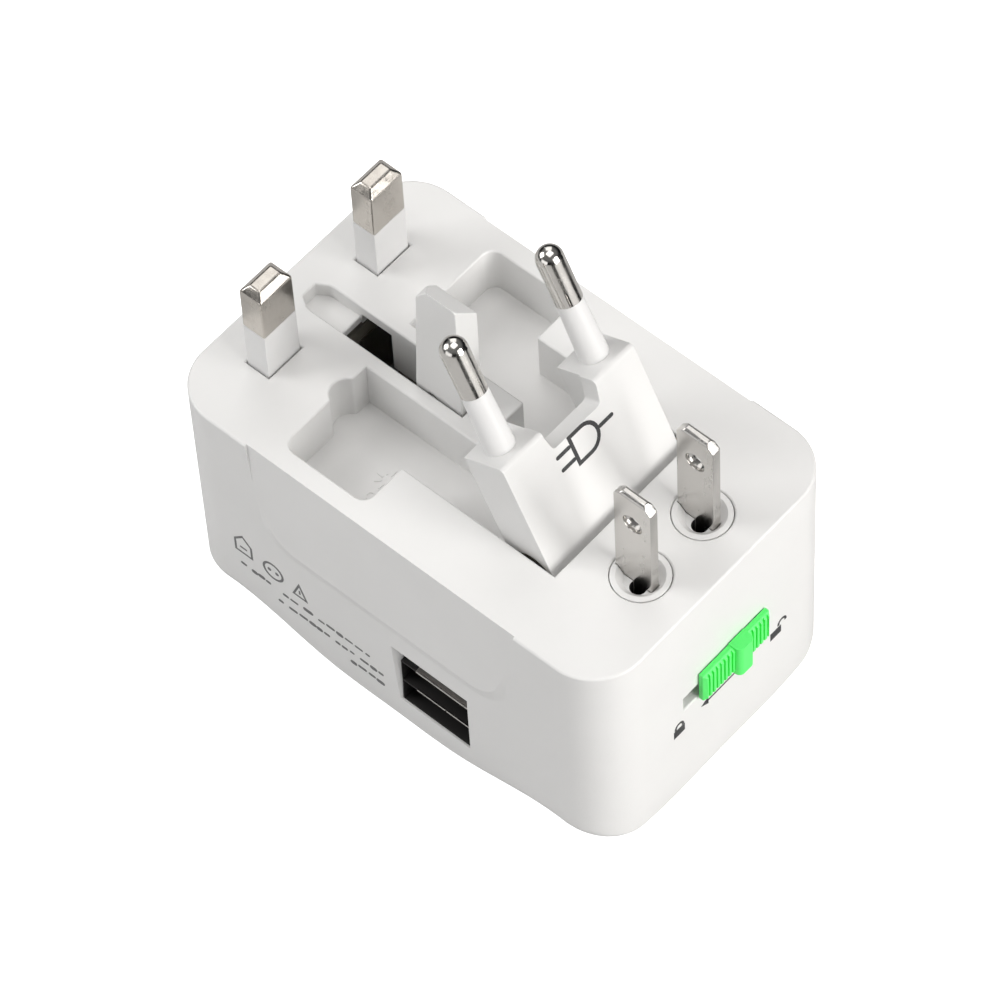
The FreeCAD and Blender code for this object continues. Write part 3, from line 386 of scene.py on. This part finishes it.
def paint_eye_shade(turret, node):
    """Paints the floor and wall of a turret's eye near black: painted shade for the dark inside that the eye
    opens into.
    """
    low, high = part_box(node)
    eye = Vector(((low.x + high.x) / 2 + EYE_X * MM, (low.y + high.y) / 2 + EYE_Y * MM))
    turret.data.materials.append(EYE_PAINTED_SHADE)
    for face in turret.data.polygons:
        towards = eye - face.center.xy
        if face.center.z < FACE_Z - EYE_DEPTH * MM and towards.length < EYE_REACH * MM:
            level = face.normal.z > MOSTLY
            facing = towards.length > 0 and face.normal.xy.dot(towards.normalized()) > MOSTLY
            if level or facing:
                face.material_index = 1


softened("main_housing", 0.32, 3, steps=on_panel_slope)
softened("euro_block", 0.6, 3)
softened("earth_tab", 0.35, 3)
for side in ("line", "neutral"):
    turret = softened("us_%s_turret" % side, 0.15)
    softened("us_%s_blade" % side, 0.14, material=BLADE_NICKEL)
    softened("uk_%s_pin" % side, 0.25, 3, material=UK_NICKEL)
    softened("uk_%s_sleeve" % side, 0.15)
    paint_eye_shade(turret, "us_%s_turret" % side)
softened("lock_button", 0.12)
softened("socket_cover", 0.25)


# ------------------------------------------------------------------ printed marks
class Sheet:
    """A flat drawing board on the object: marks are drawn in millimetres and given a thin body."""

    def __init__(self, origin, across, up, thick=0.03):
        self.across = Vector(across).normalized()
        self.up = Vector(up).normalized()
        self.out = self.across.cross(self.up)
        self.origin = Vector(origin)
        self.thick = thick * MM
        self.bm = bmesh.new()

    def spot(self, point):
        return self.origin + self.across * (point[0] * MM) + self.up * (point[1] * MM)

    def slab(self, outline):
        """A filled outline as a thin closed plate; the outline runs counter-clockwise."""
        low = [self.bm.verts.new(self.spot(p)) for p in outline]
        high = [self.bm.verts.new(self.spot(p) + self.out * self.thick) for p in outline]
        self.bm.faces.new(high)
        self.bm.faces.new(low[::-1])
        for i in range(len(outline)):
            j = (i + 1) % len(outline)
            self.bm.faces.new((low[i], low[j], high[j], high[i]))

    def ring(self, outer, inner):
        """A closed band between two outlines with the same number of points."""
        count = len(outer)
        loops = []
        for outline in (outer, inner):
            low = [self.bm.verts.new(self.spot(p)) for p in outline]
            high = [self.bm.verts.new(self.spot(p) + self.out * self.thick) for p in outline]
            loops.append((low, high))
        (low_a, high_a), (low_b, high_b) = loops
        for i in range(count):
            j = (i + 1) % count
            self.bm.faces.new((high_a[i], high_a[j], high_b[j], high_b[i]))
            self.bm.faces.new((low_a[j], low_a[i], low_b[i], low_b[j]))
            self.bm.faces.new((low_a[i], low_a[j], high_a[j], high_a[i]))
            self.bm.faces.new((low_b[j], low_b[i], high_b[i], high_b[j]))

    def disc(self, centre, radius, points=20):
        self.slab(arc_points(centre, radius, 0, 360, points)[:-1])

    def circle(self, centre, radius, width, points=32):
        self.ring(arc_points(centre, radius + width / 2, 0, 360, points)[:-1],
                  arc_points(centre, radius - width / 2, 0, 360, points)[:-1])

    def bar(self, start, end, width):
        """A straight stroke with round ends."""
        direction = math.degrees(math.atan2(end[1] - start[1], end[0] - start[0]))
        self.slab(arc_points(end, width / 2, direction - 90, direction + 90, 6)
                  + arc_points(start, width / 2, direction + 90, direction + 270, 6))

    def frame(self, points, width):
        """A closed outline stroke with mitred corners."""
        self.ring(inset(points, -width / 2), inset(points, width / 2))

    def finish(self, name, body, material):
        mesh = bpy.data.meshes.new(name)
        bmesh.ops.recalc_face_normals(self.bm, faces=self.bm.faces)
        self.bm.to_mesh(mesh)
        self.bm.free()
        return placed(name, mesh, body, material=material)


def arc_points(centre, radius, start, stop, steps):
    """Points on an arc from start to stop degrees."""
    angles = [math.radians(start + (stop - start) * i / steps) for i in range(steps + 1)]
    return [(centre[0] + radius * math.cos(a), centre[1] + radius * math.sin(a)) for a in angles]


def inset(points, amount):
    """A counter-clockwise outline moved inward by an amount, with mitred corners."""
    moved = []
    for i, point in enumerate(points):
        before = Vector(points[i - 1])
        here = Vector(point)
        after = Vector(points[(i + 1) % len(points)])
        first = (here - before).normalized()
        second = (after - here).normalized()
        left_a = Vector((-first.y, first.x))
        left_b = Vector((-second.y, second.x))
        middle = (left_a + left_b).normalized()
        moved.append(tuple(here + middle * (amount / max(0.3, middle.dot(left_a)))))
    return moved


def plug_sign(sheet, x, y, size, stroke):
    """A lying two-pin plug: prongs, rounded body and a short cord."""
    body = ([(x - 0.1 * size, y - 0.42 * size)]
            + arc_points((x + 0.35 * size, y), 0.42 * size, -90, 90, 12)
            + [(x - 0.1 * size, y + 0.42 * size)])
    sheet.frame(body, stroke)
    for side in (-1, 1):
        sheet.bar((x - 0.2 * size, y + side * 0.2 * size), (x - 0.62 * size, y + side * 0.2 * size), stroke)
    sheet.bar((x + 0.86 * size, y), (x + 1.3 * size, y), stroke)


def padlock_sign(sheet, x, y, size, stroke, is_open):
    """A padlock with a filled body; the open one has its shackle lifted and swung aside."""
    half = 0.42 * size
    sheet.slab([(x - half, y - 0.5 * size), (x + half, y - 0.5 * size),
                (x + half, y + 0.12 * size), (x - half, y + 0.12 * size)])
    shift = 0.5 * size if is_open else 0.0
    base = y + (0.22 if is_open else 0.16) * size
    centre = (x + shift, base + 0.1 * size)
    outer = arc_points(centre, 0.28 * size + stroke / 2, 0, 180, 12)
    inner = arc_points(centre, 0.28 * size - stroke / 2, 180, 0, 12)
    sheet.slab([(outer[0][0], base)] + outer + [(outer[-1][0], base), (inner[0][0], base)]
               + inner + [(inner[-1][0], base)])


def house_sign(sheet, x, base, stroke):
    """A house outline with a short bar inside."""
    half, eaves, ridge, bar_height = 1.5, 2.6, 4.2, 1.3
    sheet.frame([(x - half, base), (x + half, base), (x + half, base + eaves),
                 (x, base + ridge), (x - half, base + eaves)], stroke)
    sheet.bar((x - half / 3, base + bar_height), (x + half / 3, base + bar_height), stroke)


def socket_sign(sheet, x, y, stroke):
    """A round socket with two holes."""
    radius, hole_offset, hole_radius = 1.75, 0.7, 0.34
    sheet.circle((x, y), radius, stroke)
    for side in (-1, 1):
        sheet.disc((x + side * hole_offset, y), hole_radius)


def triangle_sign(sheet, x, base, stroke):
    """A standing triangle with a short upright bar inside."""
    half, height, bar_low, bar_high, bar_width = 1.2, 3.0, 0.8, 1.5, 0.3
    sheet.frame([(x - half, base), (x + half, base), (x, base + height)], stroke)
    sheet.bar((x, base + bar_low), (x, base + bar_high), bar_width)


DASH_ROWS = ((9.6, -27.4, -21.4), (9.3, -19.6, -3.4), (6.7, -20.6, -0.8), (4.4, -7.2, -0.6))
DASH_LENGTHS = (0.45, 0.6, 0.6, 0.8, 1.1)
DASH_WIDTHS = (0.42, 0.55, 0.8)
DASH_GAPS = (0.75, 0.85, 1.5)
DASH_LIFT = 0.12
SHORTEST_REST = 0.5


def side_marks():
    """Three signs over rows of small blocks, on the wall with the charger ports."""
    sheet = Sheet((MID_X, side_y, SOCKET_Z), (1, 0, 0), (0, 0, 1))
    house_sign(sheet, -26.8, 12.6, 0.36)
    socket_sign(sheet, -21.3, 13.4, 0.4)
    triangle_sign(sheet, -16.4, 11.7, 0.34)
    for height, start, end in DASH_ROWS:
        x = start
        while x < end - SHORTEST_REST:
            length = random.choice(DASH_LENGTHS)
            level = height + random.uniform(-DASH_LIFT, DASH_LIFT)
            sheet.bar((x, level), (x + length, level), random.choice(DASH_WIDTHS))
            x += length + random.choice(DASH_GAPS)
    sheet.finish("side_marks", "housing", SIDE_INK)


def lock_marks():
    """Closed and open padlock either side of a double arrow, under the slider."""
    level, lock_size, lock_stroke = 15.4, 2.7, 0.42
    closed_y, open_y = -9.2, 11.2
    shaft_start, shaft_end, shaft_stroke, head_half = -3.4, 3.2, 0.36, 0.85
    heads = ((-4.6, -3.1), (4.4, 2.9))
    sheet = Sheet((end_x, 0, SOCKET_Z), (0, 1, 0), (0, 0, 1))
    padlock_sign(sheet, closed_y, level, lock_size, lock_stroke, False)
    padlock_sign(sheet, open_y, level, lock_size, lock_stroke, True)
    sheet.bar((shaft_start, level), (shaft_end, level), shaft_stroke)
    for tip, back in heads:
        points = [(tip, level), (back, level - head_half), (back, level + head_half)]
        sheet.slab(points if tip < back else points[::-1])
    sheet.finish("lock_marks", "housing", INK)


def pocket_rosette():
    """Small moulded rosette and ring on the floor of the near pocket."""
    pocket_x, pocket_y, thick = -9.6, -12.6, 0.1
    petals, petal_start, petal_end, petal_width = 8, 0.9, 1.7, 0.3
    ring_drop, ring_radius, ring_width = 3.4, 0.6, 0.25
    spot = Vector((MID_X + pocket_x * MM, pocket_y * MM))
    floor_z = wall_point("main_housing", (spot.x, spot.y, 0.1), (0, 0, -1)).z
    sheet = Sheet((spot.x, spot.y, floor_z), (1, 0, 0), (0, 1, 0), thick)
    for number in range(petals):
        angle = 2 * math.pi * number / petals
        sheet.bar((petal_start * math.cos(angle), petal_start * math.sin(angle)),
                  (petal_end * math.cos(angle), petal_end * math.sin(angle)), petal_width)
    sheet.circle((0, -ring_drop), ring_radius, ring_width, 16)
    sheet.finish("pocket_rosette", "housing", MATERIALS["housing_white"])


def block_marks():
    """Plug sign on the outer face of the tilted block, measured from its hinge."""
    across, along, size, stroke = -1.4, 13.6, 5.4, 0.62
    hinge = Vector(JOINT["euro_flip"]["pos_m"])
    lean = Vector(MOUNT["euro_pin_line"]["axis"])
    outward = Vector((lean.z, 0, -lean.x))
    block = NODES["euro_block"]
    reach = max((block.matrix_world @ v.co - hinge).dot(outward) for v in block.data.vertices)
    sheet = Sheet(hinge + outward * reach, (0, 1, 0), lean)
    plug_sign(sheet, across, along, size, stroke)
    sheet.finish("block_marks", "euro_plug", INK)


side_marks()
lock_marks()
pocket_rosette()
block_marks()


# ------------------------------------------------------------------ charger sockets
def plate(name, x, y, z, corner, body, slot):
    """A flat sheet of metal or plastic with rounded corners; spans are in metres."""
    sheet = Sheet((0, 0, z[0]), (1, 0, 0), (0, 1, 0), (z[1] - z[0]) / MM)
    left, right = x[0] / MM + corner, x[1] / MM - corner
    near, far = y[0] / MM + corner, y[1] / MM - corner
    sheet.slab(arc_points((right, near), corner, -90, 0, 5) + arc_points((right, far), corner, 0, 90, 5)
               + arc_points((left, far), corner, 90, 180, 5) + arc_points((left, near), corner, 180, 270, 5))
    return sheet.finish(name, body, MATERIALS[slot])


# sizes of the ports in millimetres; their mounts sit in the middle of ports 4.55 high
MOUNT_TO_ROOF = 2.28
MOUNT_TO_FLOOR = 2.27
PORT_SHEET = 0.25
SKIN = 0.03
EDGE_START = 2.75
EDGE_END = 0.17
SEAM_START = 7.9
SEAM_WIDTH = 0.14
EDGE_DEPTH = 0.16
TOP_SHEET_SPAN = (0.1, 2.0)
TONGUE_HEIGHT = 2.6
CONTACT_OFFSETS = (-3.5, -1.0, 1.0, 3.5)
CONTACT_HALF = 0.5
CONTACT_SPAN = (0.5, 7.5)
CONTACT_THICK = 0.12
CONTACT_OVERLAP = 0.02


def port_level(tier, offset):
    """A height above or below the mount of a port, in metres."""
    return MOUNT["usb_" + tier]["pos_m"][2] + offset * MM


def port_edges():
    """Bright sheet edges along the roof of each port; the lower one has a seam."""
    low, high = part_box("usb_shell")
    start, stop, seam = low.x + EDGE_START * MM, high.x - EDGE_END * MM, low.x + SEAM_START * MM
    upper, lower = (port_level(tier, MOUNT_TO_ROOF) for tier in ("upper", "lower"))
    outer = (PORT_SHEET + SKIN) * MM
    front, back = TOP_SHEET_SPAN
    plate("usb_top_sheet", (start, stop), (low.y + front * MM, low.y + (back - SKIN) * MM),
          (upper + 0.2 * MM, upper + outer), 0.2, "housing", "shell_steel")
    for name, height, span in (("top", upper, (start, stop)), ("left", lower, (start, seam)),
                               ("right", lower, (seam + SEAM_WIDTH * MM, stop))):
        plate("usb_edge_" + name, span, (low.y - SKIN * MM, low.y + EDGE_DEPTH * MM),
              (height - SKIN * MM, height + outer), 0.08, "housing", "pin_nickel")


def port_contacts():
    """Four spring contacts under each tongue."""
    low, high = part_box("usb_tongues")
    front, back = CONTACT_SPAN
    for tier in ("lower", "upper"):
        under = port_level(tier, TONGUE_HEIGHT - MOUNT_TO_FLOOR)
        for number, offset in enumerate(CONTACT_OFFSETS):
            middle = (low.x + high.x) / 2 + offset * MM
            plate("usb_contact_%s_%d" % (tier, number),
                  (middle - CONTACT_HALF * MM, middle + CONTACT_HALF * MM),
                  (low.y + front * MM, low.y + back * MM),
                  (under - CONTACT_THICK * MM, under + CONTACT_OVERLAP * MM),
                  0.15, "housing", "contact_brass")


# the ports' metal shell is drawn near black, as painted shade inside the ports
softened("usb_shell", 0.06, 1, material=PORT_PAINTED_SHADE)
port_edges()
port_contacts()

# ------------------------------------------------------------------ stage, light and camera
scene = bpy.context.scene
scene.view_settings.view_transform = "Standard"


def by_camera(paint, seen, unseen):
    """A value that differs between camera rays and all others; the stage floor alone uses it."""
    path = paint.add("ShaderNodeLightPath")
    return paint.span(path.outputs["Is Camera Ray"], unseen, seen, 0.0, 1.0)


bpy.ops.mesh.primitive_plane_add(size=8, location=(0, 0, -0.0001))
floor = bpy.context.object
floor.name = "floor"
paint = Paint("floor_pale")
grey = paint.ramp(paint.noise(3), (0.5, 0.5, 0.5), (0.52, 0.52, 0.52))
pale = paint.ramp(paint.noise(3), (0.88, 0.88, 0.88), (0.9, 0.9, 0.9))
paint.colour(paint.blend(by_camera(paint, 1.0, 0.0), grey, pale))
paint.fix(Roughness=0.9, Emission_Color=(1, 1, 1, 1))
paint.link(by_camera(paint, 0.95, 0.04), paint.shader.inputs["Emission Strength"])
floor.data.materials.append(paint.material)


def dark_card(name, azimuth, distance, width, height):
    """A dark card beside the object that only mirror-like surfaces see."""
    bpy.ops.mesh.primitive_plane_add(size=1)
    card = bpy.context.object
    card.name = name
    turn = math.radians(azimuth)
    card.scale = (width, height, 1)
    card.rotation_euler = (math.radians(90), 0, turn + math.radians(90))
    card.location = (distance * math.cos(turn), distance * math.sin(turn), height / 2)
    card_paint = Paint(name)
    card_paint.colour(card_paint.ramp(card_paint.noise(20), (0.006, 0.006, 0.007), (0.012, 0.012, 0.013)))
    card_paint.fix(Roughness=1.0)
    card.data.materials.append(card_paint.material)
    for kind in ("camera", "diffuse", "shadow", "transmission", "volume_scatter"):
        setattr(card, "visible_" + kind, False)


dark_card("dark_card_front", azimuth=-26, distance=0.19, width=0.075, height=0.13)
dark_card("dark_card_back", azimuth=52, distance=0.16, width=0.08, height=0.10)

# studio surround: white overhead, a dark zone above the horizon that bright metal mirrors
world = bpy.data.worlds.new("studio")
world.use_nodes = True
tree = world.node_tree
background = tree.nodes["Background"]
direction = tree.nodes.new("ShaderNodeTexCoord").outputs["Generated"]
split = tree.nodes.new("ShaderNodeSeparateXYZ")
tree.links.new(direction, split.inputs[0])
rise = tree.nodes.new("ShaderNodeValToRGB")
stops = rise.color_ramp.elements
stops[0].position, stops[0].color = 0.30, (0.04, 0.04, 0.045, 1)
stops[1].position, stops[1].color = 0.62, (1, 1, 1, 1)
tree.links.new(split.outputs["Z"], rise.inputs["Fac"])
tree.links.new(rise.outputs["Color"], background.inputs["Color"])
background.inputs["Strength"].default_value = 0.17
scene.world = world


def lamp(name, place, size, power, colour=(1, 1, 1), target_z=0.03):
    """A soft rectangular lamp that faces the object."""
    data = bpy.data.lights.new(name, "AREA")
    data.shape = "RECTANGLE"
    data.size, data.size_y = size
    data.energy = power
    data.color = colour
    obj = bpy.data.objects.new(name, data)
    obj.location = place
    obj.rotation_mode = "QUATERNION"
    obj.rotation_quaternion = (Vector((0, 0, target_z)) - Vector(place)).to_track_quat("-Z", "Y")
    scene.collection.objects.link(obj)


lamp("key_right", place=(0.8, 0.1, 0.35), size=(0.5, 0.6), power=7.3, colour=(1, 0.985, 0.965))
lamp("key_back_left", place=(-0.5, 0.45, 0.75), size=(0.6, 0.6), power=1.5, colour=(1, 0.99, 0.975))
lamp("fill_left_front", place=(-0.7, -0.5, 0.6), size=(0.5, 0.5), power=4.6, colour=(1, 0.995, 0.985),
     target_z=0.02)
lamp("fill_top", place=(0, 0, 1.0), size=(0.7, 0.7), power=3.0, colour=(1, 0.985, 0.965))
lamp("fill_front_low", place=(0.0, -0.9, 0.25), size=(0.8, 0.4), power=1.3, target_z=0.02)

# the photo's viewpoint: where the camera stands as seen from the point it looks at, and its tilt
VIEW_AZIMUTH = -45.909
VIEW_ELEVATION = 56.522
VIEW_TILT = -3.668
VIEW_DISTANCE = 0.8008
AIM_OFFSET = Vector((5.587, -6.621, -5.717)) * MM

camera_data = bpy.data.cameras.new("photo_camera")
camera_data.sensor_width = 36.0
camera_data.lens = 214.3
camera_data.clip_start, camera_data.clip_end = 0.01, 20.0
camera = bpy.data.objects.new("photo_camera", camera_data)
azimuth, elevation = math.radians(VIEW_AZIMUTH), math.radians(VIEW_ELEVATION)
outward = Vector((math.cos(elevation) * math.cos(azimuth), math.cos(elevation) * math.sin(azimuth),
                  math.sin(elevation)))
camera.rotation_mode = "QUATERNION"
camera.location = Vector((MID_X, 0, FACE_Z)) + AIM_OFFSET + outward * VIEW_DISTANCE
camera.rotation_quaternion = (-outward).to_track_quat("-Z", "Y") @ Quaternion((0, 0, 1),
                                                                              math.radians(VIEW_TILT))
scene.collection.objects.link(camera)
scene.camera = camera

bpy.context.view_layer.update()
